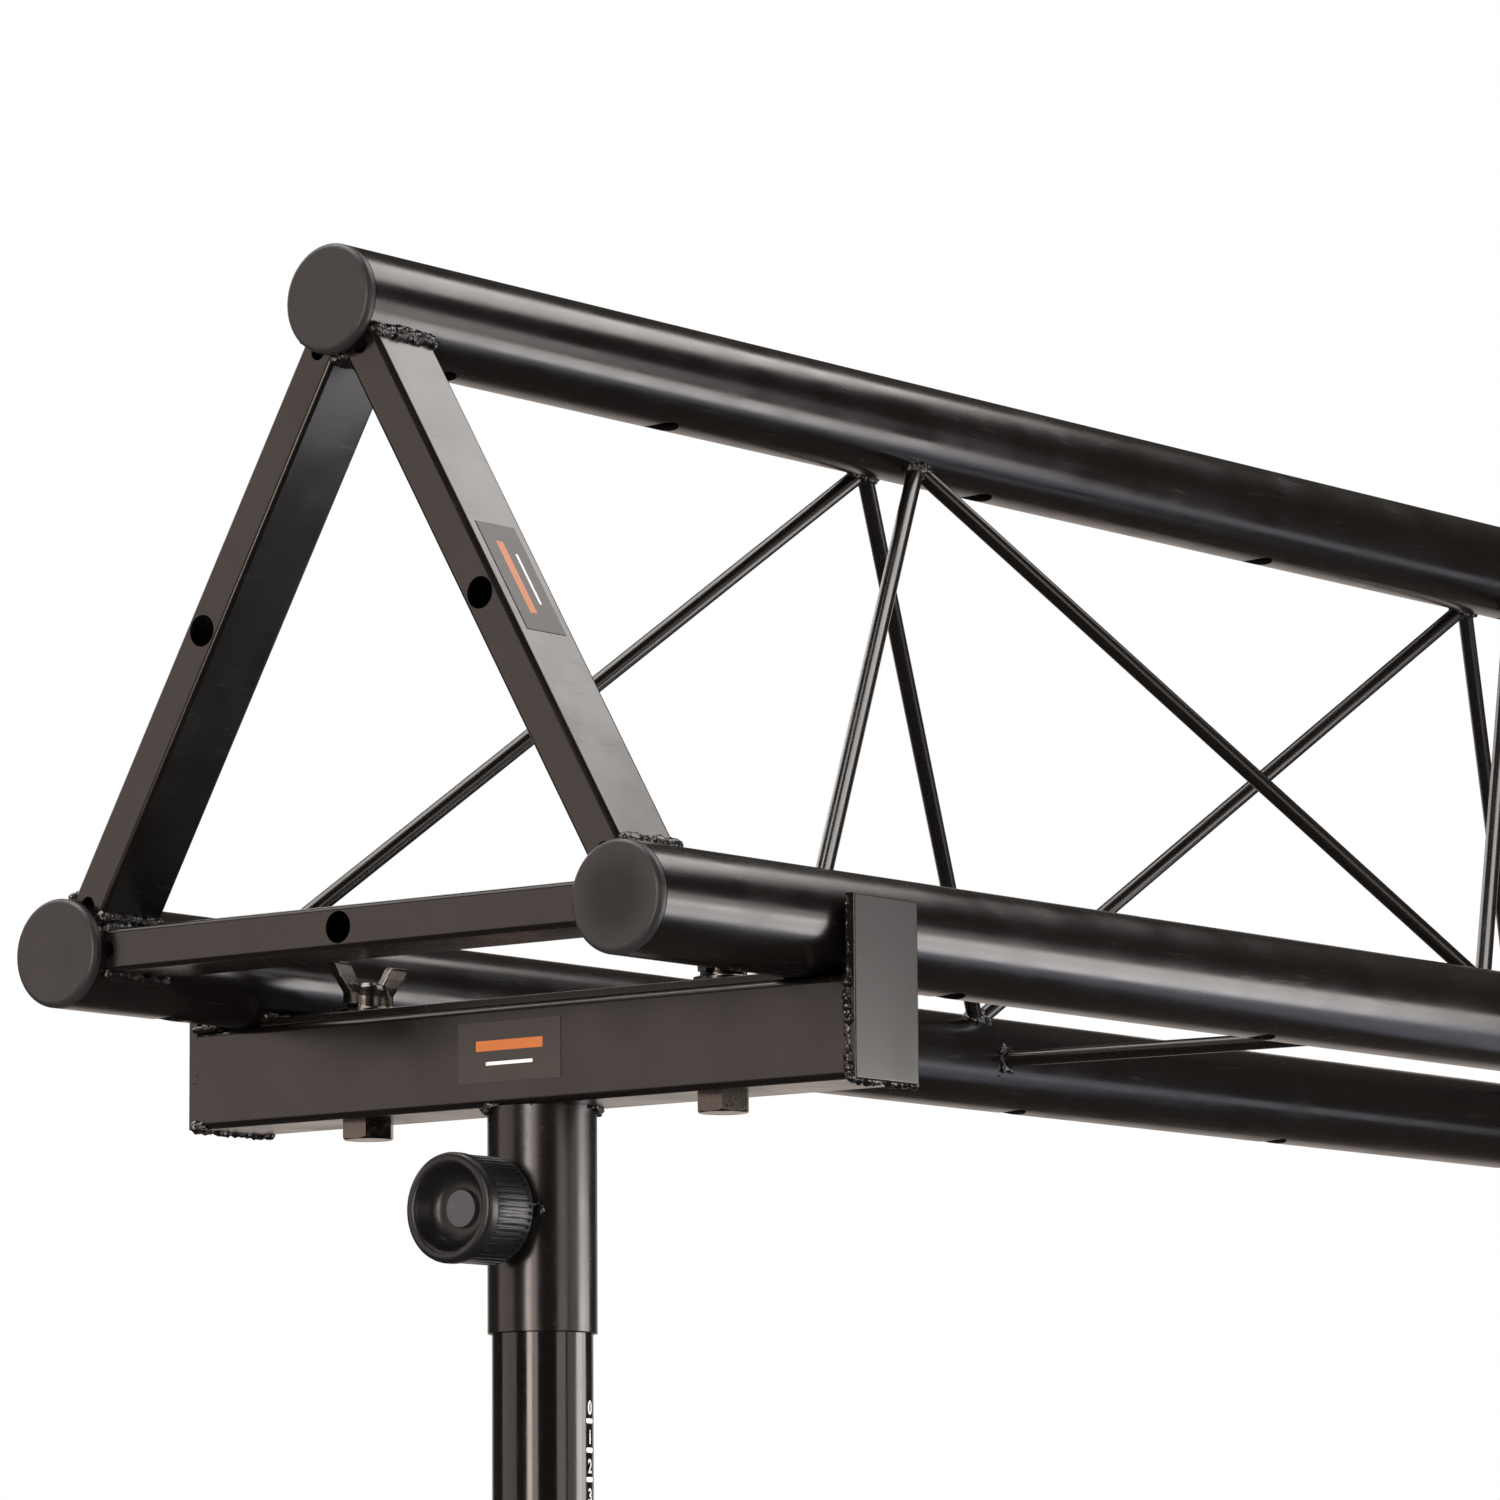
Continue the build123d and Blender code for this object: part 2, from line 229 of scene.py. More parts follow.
def paint(material, *names):
    """Puts a material on CAD nodes."""
    for name in names:
        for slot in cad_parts[name].material_slots:
            slot.material = material


def middle(name):
    low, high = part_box(name)
    return (low + high) / 2


def size_of(name):
    low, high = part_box(name)
    return high - low


# Materials


def add(tree, kind, inputs=None, **settings):
    """Adds a node. inputs maps a socket's name or number to a value or to another node's output."""
    item = tree.nodes.new(kind)
    for key, value in settings.items():
        setattr(item, key, value)
    for key, value in (inputs or {}).items():
        if isinstance(value, bpy.types.NodeSocket):
            tree.links.new(value, item.inputs[key])
        else:
            item.inputs[key].default_value = value
    return item


def noise(tree, place, scale, detail, rough=0.5):
    """Cloudy noise, scale of its clouds to the metre, as one value."""
    inputs = {"Vector": place, "Scale": scale, "Detail": detail, "Roughness": rough}
    return add(tree, "ShaderNodeTexNoise", inputs).outputs["Fac"]


def ranged(tree, value, start, end, low=0.0, high=1.0):
    """A value mapped from start and end to low and high."""
    inputs = {"Value": value, "From Min": start, "From Max": end, "To Min": low, "To Max": high}
    return add(tree, "ShaderNodeMapRange", inputs).outputs[0]


def blend(tree, share, first, second):
    """A colour between two, by a share of the second."""
    return add(tree, "ShaderNodeMix", {0: share, 6: first, 7: second}, data_type="RGBA").outputs[2]


def maths(tree, operation, *values):
    return add(tree, "ShaderNodeMath", dict(enumerate(values)), operation=operation).outputs[0]


def relief(tree, height, strength, depth):
    """A bump from a height value, this deep in metres."""
    inputs = {"Height": height, "Strength": strength, "Distance": depth}
    return add(tree, "ShaderNodeBump", inputs).outputs[0]


def blank(name):
    """A new material with its node tree and its Object coordinates."""
    material = bpy.data.materials.new(name)
    material.use_nodes = True
    tree = material.node_tree
    tree.nodes.clear()
    return material, tree, add(tree, "ShaderNodeTexCoord").outputs["Object"]


def surface(tree, inputs):
    """The shader of a material, with these values or outputs in its sockets."""
    shader = add(tree, "ShaderNodeBsdfPrincipled", inputs)
    add(tree, "ShaderNodeOutputMaterial", {"Surface": shader.outputs[0]})


def shade(base, factor):
    """A linear colour made lighter or darker, with alpha."""
    return tuple(min(1.0, c * factor) for c in base) + (1.0,)


def powder_coat(name, base, smooth, peel):
    """Polyester powder coat baked on steel: a thick plastic skin, melted into a faint orange
    peel. It mirrors the studio softly, is a warm off-black and carries fine rubs and dust.
    """
    material, tree, place = blank(name)
    # the coat's thickness drifts over about 90 mm, which shifts its black slightly
    drift = noise(tree, place, 11.0, 3.0, 0.6)
    # handling rubs, 2 mm wide and some 30 mm long, lie along the truss
    along = add(tree, "ShaderNodeMapping", {"Vector": place, "Scale": (32.0, 420.0, 420.0)}).outputs[0]
    rubbed = ranged(tree, noise(tree, along, 1.0, 4.0, 0.65), 0.58, 0.78)
    black = blend(tree, drift, shade(base, 0.75), shade(base, 1.3))
    surface_tone = blend(tree, rubbed, black, shade(base, 2.1))
    # the sheen varies with the cure over about 25 mm
    sheen = ranged(tree, noise(tree, place, 40.0, 2.0), 0.3, 0.7, smooth - 0.04, smooth + 0.05)
    rough = maths(tree, "MULTIPLY_ADD", rubbed, 0.10, sheen)
    # orange peel 1.4 mm across, with a finer 0.5 mm texture that makes highlights glitter
    orange = noise(tree, place, 700.0, 1.0)
    skin = maths(tree, "MULTIPLY_ADD", noise(tree, place, 2000.0, 0.0), 0.35, orange)
    bump = relief(tree, skin, peel, 0.0001)
    surface(tree, {"Base Color": surface_tone, "Roughness": rough, "IOR": 1.52, "Normal": bump})
    return material


def weld_material():
    """The same powder coat where it has run over a weld: thicker, glossier and lumpy. Its colour is
    painted lighter on the lumps and darker between them: painted highlight and painted shade.
    """
    if "weld_powder_coat" in bpy.data.materials:
        return bpy.data.materials["weld_powder_coat"]
    base = bpy.context.scene.truss_finish.coat
    material, tree, place = blank("weld_powder_coat")
    # ripples and spatter of about 1.2 mm
    lumps = noise(tree, place, 800.0, 3.0, 0.6)
    pits = add(tree, "ShaderNodeTexVoronoi", {"Vector": place, "Scale": 620.0}).outputs["Distance"]
    # painted highlight and painted shade: the colour is lighter on the lumps and darker between them
    tint = blend(tree, lumps, shade(base, 0.4), shade(base, 1.6))
    gloss = ranged(tree, lumps, 0.3, 0.7, 0.12, 0.34)
    bump = relief(tree, maths(tree, "MULTIPLY_ADD", pits, 0.5, lumps), 0.8, 0.0004)
    inputs = {"Base Color": tint, "Roughness": gloss, "IOR": 1.52, "Specular IOR Level": 0.8, "Normal": bump}
    surface(tree, inputs)
    return material


def moulded(name, base, smooth, grain_mm, depth, mottle, painted_dish_shade=None):
    """Injection-moulded plastic from a spark-eroded tool: an even, dry surface with a fine
    grain, faint flow clouds and pale scuffs where it has been handled. With painted_dish_shade,
    the middle, given with its centre and radius, gets painted shade that darkens it towards its centre, as a
    shallow dish looks.
    """
    material, tree, place = blank(name)
    # flow clouds about 12 mm across
    clouds = noise(tree, place, 80.0, 3.0)
    tint = blend(tree, clouds, shade(base, 1.0 - mottle), shade(base, 1.0 + mottle))
    # scuffs about 3 mm across
    scuffed = ranged(tree, noise(tree, place, 330.0, 5.0, 0.7), 0.6, 0.8)
    surface_tone = blend(tree, scuffed, tint, shade(base, 1.9))
    # painted shade: the middle of the face darkens towards its centre, like the shading of a shallow dish
    if painted_dish_shade:
        centre, radius = painted_dish_shade
        away = add(tree, "ShaderNodeVectorMath", {0: place, 1: centre}, operation="DISTANCE").outputs["Value"]
        rim = ranged(tree, away, radius * 0.4, radius * 0.85)
        surface_tone = blend(tree, rim, shade(base, 0.15), surface_tone)
    rough = ranged(tree, clouds, 0.3, 0.7, smooth - 0.05, smooth + 0.06)
    bump = relief(tree, noise(tree, place, 1000.0 / grain_mm, 1.0), depth, 0.0001)
    surface(tree, {"Base Color": surface_tone, "Roughness": rough, "IOR": 1.51, "Normal": bump})
    return material


def plated(name, base, smooth, mottle_mm):
    """Zinc plate with a chromate dip, or bare turned metal: a thin metallic skin, glossy on the
    flats and cloudy where the dip ran, with fine tumbling marks.
    """
    material, tree, place = blank(name)
    clouds = noise(tree, place, 1000.0 / mottle_mm, 4.0, 0.6)
    tint = blend(tree, clouds, shade(base, 0.45), shade(base, 1.5))
    rough = ranged(tree, clouds, 0.3, 0.7, smooth - 0.08, smooth + 0.10)
    # tumbling marks of about 0.8 mm
    bump = relief(tree, noise(tree, place, 1250.0, 2.0), 0.35, 0.0001)
    surface(tree, {"Base Color": tint, "Roughness": rough, "Metallic": 1.0, "Normal": bump})
    return material


def ink(base):
    """Screen-printed white ink on the gloss coat: matt, a little thin and chipped in places."""
    material, tree, place = blank("scale_ink")
    # thin patches about 1.5 mm across
    thin = noise(tree, place, 660.0, 3.0)
    tint = blend(tree, ranged(tree, thin, 0.62, 0.8, 0.0, 0.6), shade(base, 1.0), shade(base, 0.35))
    bump = relief(tree, thin, 0.2, 0.00005)
    surface(tree, {"Base Color": tint, "Roughness": 0.55, "IOR": 1.5, "Normal": bump})
    return material


def vinyl(name, base, centre, across, along, stripes):
    """Printed vinyl film stuck to the coat: smooth and semi-matt, slightly paler than the coat,
    with a broad stripe and a thin one. across and along are the label's directions.
    """
    material, tree, place = blank(name)
    offset = add(tree, "ShaderNodeVectorMath", {0: place, 1: centre}, operation="SUBTRACT").outputs[0]
    u = add(tree, "ShaderNodeVectorMath", {0: offset, 1: across}, operation="DOT_PRODUCT").outputs["Value"]
    v = add(tree, "ShaderNodeVectorMath", {0: offset, 1: along}, operation="DOT_PRODUCT").outputs["Value"]
    # the film's print varies a little over about 8 mm
    tint = blend(tree, noise(tree, place, 120.0, 3.0), shade(base, 0.85), shade(base, 1.15))
    for ink_colour, u_mid, v_mid, half_u, half_v in stripes:
        in_u = maths(tree, "COMPARE", u, u_mid, half_u)
        in_v = maths(tree, "COMPARE", v, v_mid, half_v)
        tint = blend(tree, maths(tree, "MULTIPLY", in_u, in_v), tint, shade(ink_colour, 1.0))
    bump = relief(tree, noise(tree, place, 500.0, 1.0), 0.12, 0.0001)
    surface(tree, {"Base Color": tint, "Roughness": 0.42, "IOR": 1.5, "Normal": bump})
    return material


# Weld shapes


def lay_bead(path, radius, seed):
    """A weld bead: overlapping puddles along a path, fused and made uneven.
    Each place on the path is a point and its share of the radius.
    """
    welds = bpy.context.scene.truss_welds
    chance = random.Random(seed)
    puddles = []
    for point, share in path:
        size = radius * share * chance.choice((0.78, 0.9, 0.95, 1.0, 1.05, 1.28))
        shift = Vector([chance.uniform(-0.22, 0.22) * radius for _ in range(3)])
        deselect()
        bpy.ops.mesh.primitive_ico_sphere_add(subdivisions=2, radius=size, location=point + shift)
        puddles.append(bpy.context.object)
    bead = settle(joined("bead", puddles))
    modify(bead, "REMESH", mode="VOXEL", voxel_size=welds.grain)
    modify(bead, "SMOOTH", factor=0.5, iterations=2)
    lumps = bpy.data.textures.new("bead_lumps", "CLOUDS")
    lumps.noise_scale = 0.0017
    modify(bead, "DISPLACE", texture=lumps, strength=welds.unevenness, mid_level=0.5, texture_coords="LOCAL")
    bpy.data.textures.remove(lumps)
    only(bead)
    bpy.ops.object.shade_smooth()
    return bead


def row(start, end, share=1.0):
    """Puddle places from one point to another, a ripple apart."""
    pitch = bpy.context.scene.truss_welds.ripple_pitch
    steps = max(1, round((end - start).length / pitch))
    return [(start.lerp(end, i / steps), share) for i in range(steps + 1)]


def oval(centre, across, along, half_across, half_along, share=1.0):
    """Puddle places round an oval, a ripple apart."""
    pitch = bpy.context.scene.truss_welds.ripple_pitch
    steps = max(6, round(math.pi * (half_across + half_along) / pitch))
    ring = []
    for i in range(steps):
        turn = math.tau * i / steps
        point = centre + across * half_across * math.cos(turn) + along * half_along * math.sin(turn)
        ring.append((point, share))
    return ring


def chord_line(name):
    """A point on a chord's axis at x = 0, and the chord's radius."""
    centre = middle("chord_" + name)
    return Vector((0.0, centre.y, centre.z)), size_of("chord_" + name).z / 2


def bar_end_beads(end):
    """Beads where the end frame's bars meet the chords, on their outer and inner faces."""
    radius = bpy.context.scene.truss_welds.bead_radius
    bar_width = size_of("frame_bar_floor_" + end).z
    beads = []
    pairs = {"floor": ("front", "rear"), "front": ("front", "top"), "rear": ("rear", "top")}
    for bar, (first, second) in pairs.items():
        low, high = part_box(f"frame_bar_{bar}_{end}")
        for here, there in ((first, second), (second, first)):
            centre, chord_radius = chord_line(here)
            away = (chord_line(there)[0] - centre).normalized()
            side = Vector((0.0, -away.z, away.y))
            reach = math.sqrt(chord_radius**2 - (bar_width / 2) ** 2)
            for turn in (-1, 1):
                seam = centre + away * (reach + 0.0006) + side * turn * (bar_width / 2 + 0.0005)
                path = row(Vector((low.x + 0.001, seam.y, seam.z)), Vector((high.x, seam.y, seam.z)))
                beads.append(lay_bead(path, radius, f"{bar}{end}{here}{turn}"))
    return joined(f"welds_end_frame_{end}", beads)


def lattice_beads(lower):
    """Collars where the rods of one side face meet the lower and the top chord."""
    radius = bpy.context.scene.truss_welds.bead_radius * 0.62
    spans = [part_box(f"strut_{lower}_{number}") for number in range(1, 7)]
    inset = 0.0045  # middle of an end rod's foot, inward from the rod's end
    feet = [spans[0][0].x + inset, spans[1][1].x, spans[3][1].x, spans[5][1].x - inset]
    tops = [spans[0][1].x, spans[2][1].x, spans[4][1].x]
    along = Vector((1.0, 0.0, 0.0))
    beads = []
    for here, there, places in ((lower, "top", feet), ("top", lower, tops)):
        centre, chord_radius = chord_line(here)
        away = (chord_line(there)[0] - centre).normalized()
        across = Vector((0.0, -away.z, away.y))
        for number, x in enumerate(places):
            lone = here == lower and number in (0, 3)
            skin = centre + away * (chord_radius + 0.0002) + along * x
            half = 0.0042 if lone else 0.0068  # round one rod, or round the two that meet
            path = oval(skin, across, along, 0.0034, half)
            path += oval(skin + away * 0.0014, across, along, 0.0030, half * 0.85, 0.8)
            if lone:
                lean = 1 if number == 0 else -1
                flare = skin + along * lean * 0.0052
                path += row(flare, flare + along * lean * 0.0042 + away * 0.0002, 0.55)
                path += row(flare + away * 0.0012, flare + along * lean * 0.0018 + away * 0.0034, 0.6)
            else:
                path += row(skin - along * 0.003 + away * 0.0030, skin + along * 0.003 + away * 0.0030, 0.9)
            beads.append(lay_bead(path, radius, f"{lower}{here}{number}"))
    return joined(f"welds_lattice_{lower}", beads)


# runs of spatter round a floor tie's end: way along the chord, way up, reach in millimetres
SPATTER = ((-0.9, 0.5, 9), (-0.3, 1.0, 10), (0.6, 0.9, 8), (1.0, 0.1, 9), (0.5, -0.9, 11), (-0.5, -1.0, 8))


def tie_beads():
    """Collars with short runs of spatter at both ends of the floor ties."""
    radius = bpy.context.scene.truss_welds.bead_radius * 0.6
    along = Vector((1.0, 0.0, 0.0))
    upright = Vector((0.0, 0.0, 1.0))
    beads = []
    for number in (1, 2):
        low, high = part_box(f"floor_tie_{number}")
        half_rod = (high.z - low.z) / 2
        for lower, x, inward in (("front", high.x - half_rod, 1), ("rear", low.x + half_rod, -1)):
            centre, chord_radius = chord_line(lower)
            skin = centre + Vector((x, inward * (chord_radius + 0.0002), 0.0))
            path = oval(skin, along, upright, 0.0036, 0.0040)
            for x_way, rise, reach in SPATTER:
                way = Vector((x_way, 0.0, rise)).normalized()
                sag = inward * (reach * 0.001 * way.z) ** 2 / (2 * chord_radius)
                tip = skin + way * reach * 0.001 - Vector((0.0, sag, 0.0))
                path += row(skin + way * 0.003, skin + way * 0.0055, 0.5)
                path += row(skin + way * 0.0055, tip, 0.34)
            beads.append(lay_bead(path, radius, f"tie{number}{lower}"))
    return joined("welds_floor_ties", beads)


def strap_beads():
    """Beads along both ends of the mounting straps, where they meet the lower chords."""
    radius = bpy.context.scene.truss_welds.bead_radius
    beads = []
    for strap in ("strap_near", "strap_far"):
        low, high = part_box(strap)
        for lower, inward in (("front", 1), ("rear", -1)):
            centre, chord_radius = chord_line(lower)
            drop = centre.z - high.z
            y = centre.y + inward * (math.sqrt(chord_radius**2 - drop**2) + 0.0004)
            z = high.z + 0.0004
            path = row(Vector((low.x, y, z)), Vector((high.x, y, z)))
            beads.append(lay_bead(path, radius * 0.95, f"{strap}{lower}"))
    return joined("welds_straps", beads)


# the ring round the socket swells on this side and the opposite one, and is thin between
SOCKET_PUDDLES = 76
SOCKET_HEAVY_SIDE = math.radians(132)
# the ring round the clamp's nut: half its width and half its height
NUT_PUDDLES = 34
NUT_RING = (0.0092, 0.0096)


def adapter_beads():
    """Beads that join the end plates and the socket to the crossbar, and the nut to the socket."""
    radius = bpy.context.scene.truss_welds.bead_radius
    low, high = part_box("crossbar")
    beads = []
    for plate, turn in (("end_plate_front", -1), ("end_plate_rear", 1)):
        plate_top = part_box(plate)[1].z
        y = turn * (high.y + 0.0007)
        for face_x in (low.x + 0.0004, high.x - 0.0004):
            foot = Vector((face_x, y, low.z + 0.001))
            shoulder = Vector((face_x, y, high.z + 0.001))
            if turn < 0:
                path = row(foot, shoulder, 0.74)
                path += row(shoulder, Vector((face_x, y, plate_top - 0.001)), 0.34)
                path += row(foot, foot + Vector((0.0, -0.0012, -0.0006)), 0.9)
            else:
                path = row(foot, foot + Vector((0.0, -0.0045, -0.0006)), 0.9)
                path += row(foot, shoulder, 0.2)
                path += row(shoulder, shoulder - Vector((0.0, 0.0090, 0.0)), 0.7)
            beads.append(lay_bead(path, radius, f"{plate}{face_x:.3f}"))
        under = low.z + 0.0003
        path = row(Vector((low.x + 0.001, y, under)), Vector((high.x - 0.001, y, under)), 0.7)
        beads.append(lay_bead(path, radius, plate + "under"))
        inner = turn * (high.y - 0.0006)
        path = row(Vector((low.x + 0.002, inner, high.z)), Vector((high.x - 0.002, inner, high.z)), 0.8)
        beads.append(lay_bead(path, radius, plate + "over"))

    socket_low, socket_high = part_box("mast_socket")
    socket_radius = (socket_high.x - socket_low.x) / 2
    out = socket_radius + 0.0002
    path = []
    for step in range(SOCKET_PUDDLES):
        turn = math.tau * step / SOCKET_PUDDLES
        swell = 0.16 + 0.72 * max(0.0, math.cos(2.0 * (turn - SOCKET_HEAVY_SIDE))) ** 2
        path.append((Vector((out * math.cos(turn), out * math.sin(turn), socket_high.z - 0.0002)), swell))
    beads.append(lay_bead(path, radius * 1.15, "socket"))

    nut = middle("clamp_nut")
    path = []
    for step in range(NUT_PUDDLES):
        turn = math.tau * step / NUT_PUDDLES
        y = NUT_RING[0] * math.cos(turn)
        z = nut.z + NUT_RING[1] * math.sin(turn)
        path.append((Vector((-math.sqrt(socket_radius**2 - y**2) - 0.0001, y, z)), 0.45))
    y = -0.0112
    for z in (nut.z - 0.0012, nut.z + 0.0004, nut.z + 0.0018):
        path.append((Vector((-math.sqrt(socket_radius**2 - y**2) - 0.0004, y, z)), 0.75))
    beads.append(lay_bead(path, radius, "nut"))
    return joined("welds_adapter", beads)


# Fittings


def pick(item, test):
    """In edit mode, selects the faces whose middle and corners pass a test."""
    bpy.ops.mesh.select_all(action="DESELECT")
    bpy.ops.mesh.select_mode(type="FACE")
    bpy.ops.object.mode_set(mode="OBJECT")
    mesh = item.data
    for face in mesh.polygons:
        corners = [mesh.vertices[i].co for i in face.vertices]
        face.select = bool(test(sum(corners, Vector()) / len(corners), corners))
    bpy.ops.object.mode_set(mode="EDIT")


# the wing nut's hub: its foot, then the rises of its shoulder with the share of the width kept
HUB_RADIUS = 0.0078
HUB_FOOT = 0.0040
HUB_SHOULDER = ((0.0022, 0.94), (0.0014, 0.92), (0.0007, 0.90))
# a wing: the middle and size of its root, then lengths that go out and up, widen and round off
WING_ROOT = (0.0070, 0.0031)
WING_ROOT_SIZE = (0.0088, 0.0040, 0.0042)
WING_LENGTHS = (
    (0.0029, 0.0028, 1.02, 0.84),
    (0.0028, 0.0034, 1.05, 0.92),
    (0.0024, 0.0034, 1.02, 1.0),
    (0.0005, 0.0010, 0.86, 0.9),
)
WING_NUT_BORE = 0.00512


def wing_nut_shape():
    """A cast wing nut that stands on z = 0, with its wings along X."""
    deselect()
    bpy.ops.mesh.primitive_cylinder_add(
        vertices=32, radius=HUB_RADIUS, depth=HUB_FOOT, location=(0, 0, HUB_FOOT / 2)
    )
    hub = settle(bpy.context.object)
    bpy.ops.object.mode_set(mode="EDIT")
    pick(hub, lambda centre, corners: centre.z > HUB_FOOT - 0.0001 and len(corners) > 4)
    bpy.ops.transform.resize(value=(0.97, 0.97, 1.0))
    for rise, share in HUB_SHOULDER:
        bpy.ops.mesh.extrude_region_move(TRANSFORM_OT_translate={"value": (0, 0, rise)})
        bpy.ops.transform.resize(value=(share, share, 1.0))
    bpy.ops.object.mode_set(mode="OBJECT")

    parts = [hub]
    for turn in (-1, 1):
        deselect()
        bpy.ops.mesh.primitive_cube_add(size=1.0, location=(turn * WING_ROOT[0], 0, WING_ROOT[1]))
        wing = bpy.context.object
        wing.scale = WING_ROOT_SIZE
        settle(wing)
        bpy.ops.object.mode_set(mode="EDIT")
        pick(wing, lambda centre, corners: centre.z > 0.0050)
        for out, rise, wide, thick in WING_LENGTHS:
            bpy.ops.mesh.extrude_region_move(TRANSFORM_OT_translate={"value": (turn * out, 0, rise)})
            bpy.ops.transform.resize(value=(wide, thick, 1.0))
        bpy.ops.object.mode_set(mode="OBJECT")
        parts.append(wing)
    nut = joined("wing_nut_shape", parts)
    modify(nut, "REMESH", mode="VOXEL", voxel_size=0.0003)
    modify(nut, "SMOOTH", factor=0.5, iterations=3)
    deselect()
    bpy.ops.mesh.primitive_cylinder_add(vertices=48, radius=WING_NUT_BORE, depth=0.03, location=(0, 0, 0.005))
    drill = settle(bpy.context.object)
    modify(nut, "BOOLEAN", operation="DIFFERENCE", object=drill, solver="EXACT")
    discard([drill])
    only(nut)
    bpy.ops.object.shade_smooth_by_angle(angle=math.radians(50))
    return nut


# radius and height in millimetres of the knob's profile, from its bore round the back, the
# barrel and the rolled rim to the dish and the seat of its insert
KNOB_OUTLINE = (
    (5.10, 0.0), (16.8, 0.0), (17.7, 0.25), (18.2, 0.8), (18.6, 1.5), (18.6, 6.0),
    (18.6, 12.0), (18.6, 18.9), (18.85, 19.4), (19.0, 20.0), (19.0, 22.7), (18.75, 23.6),
    (18.1, 24.25), (17.2, 24.5), (16.2, 24.5), (15.5, 24.3), (15.0, 23.8), (14.5, 22.7),
    (13.7, 20.9), (12.6, 18.9), (11.2, 17.3), (9.6, 16.6), (8.0, 16.3), (6.38, 16.3),
    (6.38, 16.25), (5.10, 16.25),
)  # fmt: skip
KNOB_COLUMNS = 192  # four to a rib and its groove
# the barrel's faces lie outside this radius and between these heights
BARREL_RADIUS = 0.0184
BARREL_ENDS = (0.00148, 0.01895)
GROOVE_DEPTH = 0.0010


def knob_shape():
    """The clamp knob, turned about Z, with its back on z = 0 and its dished face up."""
    deselect()
    bpy.ops.mesh.primitive_plane_add(size=0.001)
    knob = bpy.context.object
    bpy.ops.object.mode_set(mode="EDIT")
    bpy.ops.mesh.select_mode(type="VERT")
    bpy.ops.mesh.select_all(action="SELECT")
    bpy.ops.mesh.merge(type="CENTER")
    at = Vector((0.0, 0.0))
    for radius, z in KNOB_OUTLINE + KNOB_OUTLINE[:1]:
        step = (radius / 1000 - at.x, 0.0, z / 1000 - at.y)
        if at.length == 0.0:
            bpy.ops.transform.translate(value=step)
        else:
            bpy.ops.mesh.extrude_region_move(TRANSFORM_OT_translate={"value": step})
        at = Vector((radius / 1000, z / 1000))
    bpy.ops.mesh.select_all(action="SELECT")
    bpy.ops.mesh.spin(steps=KNOB_COLUMNS, angle=math.tau, center=(0, 0, 0), axis=(0, 0, 1))
    bpy.ops.mesh.select_all(action="SELECT")
    bpy.ops.mesh.remove_doubles(threshold=0.00001)
    bpy.ops.mesh.normals_make_consistent(inside=False)

    def in_groove(centre, corners):
        heights = [c.z for c in corners]
        on_barrel = BARREL_ENDS[0] < min(heights) and max(heights) < BARREL_ENDS[1]
        column = round(math.atan2(centre.y, centre.x) / math.tau * KNOB_COLUMNS - 0.5) % 4
        return on_barrel and math.hypot(centre.x, centre.y) > BARREL_RADIUS and column < 2

    pick(knob, in_groove)
    bpy.ops.mesh.extrude_region_shrink_fatten(TRANSFORM_OT_shrink_fatten={"value": -GROOVE_DEPTH})
    bpy.ops.object.mode_set(mode="OBJECT")
    modify(knob, "BEVEL", width=0.00022, segments=2, limit_method="ANGLE", angle_limit=math.radians(40))
    only(knob)
    bpy.ops.object.shade_smooth_by_angle(angle=math.radians(35))
    return knob


SCALE_MARKS = 29  # 0 to 28


def printed_marks():
    """White figures, one per centimetre down the mast, each over a short rounded tick."""
    scale = bpy.context.scene.truss_scale
    mast_radius = size_of("mast_tube").x / 2
    marks = []
    for number in range(SCALE_MARKS):
        deselect()
        bpy.ops.object.text_add(location=(0, 0, 0))
        figure = bpy.context.object
        figure.data.body = str(number)
        figure.data.size = scale.digit * 1.38
        figure.data.offset = 0.00016
        figure.data.align_x = "CENTER"
        figure.data.resolution_u = 6
        bpy.ops.object.convert(target="MESH")
        figure = bpy.context.object
        figure.location = (0, -number * scale.pitch, 0)
        marks.append(settle(figure))
        deselect()
        bpy.ops.mesh.primitive_plane_add(size=1.0, location=(0, -number * scale.pitch - 0.0023, 0))
        tick = bpy.context.object
        tick.scale = (scale.tick_width, scale.tick_height, 1.0)
        settle(tick)
        bpy.ops.object.mode_set(mode="EDIT")
        bpy.ops.mesh.select_all(action="SELECT")
        bpy.ops.mesh.bevel(offset=scale.tick_height * 0.42, segments=4, affect="VERTICES")
        bpy.ops.object.mode_set(mode="OBJECT")
        marks.append(tick)
    print_sheet = joined("mast_scale", marks)
    bpy.ops.object.mode_set(mode="EDIT")
    bpy.ops.mesh.select_all(action="SELECT")
    bpy.ops.mesh.quads_convert_to_tris()
    bpy.ops.mesh.subdivide(number_cuts=1)
    bpy.ops.object.mode_set(mode="OBJECT")
    facing = Vector((math.cos(scale.heading), math.sin(scale.heading), 0.0))
    along = Vector((-facing.y, facing.x, 0.0))
    turn = Matrix((along, Vector((0, 0, 1)), facing)).transposed()
    place = facing * mast_radius + Vector((0, 0, scale.first_mark))
    print_sheet.matrix_world = Matrix.Translation(place) @ turn.to_4x4()
    settle(print_sheet)
    skin = {"target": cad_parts["mast_tube"], "wrap_method": "NEAREST_SURFACEPOINT"}
    modify(print_sheet, "SHRINKWRAP", offset=0.00006, **skin)
    modify(print_sheet, "SOLIDIFY", thickness=0.00005, offset=0.0)
    return print_sheet


# Studio


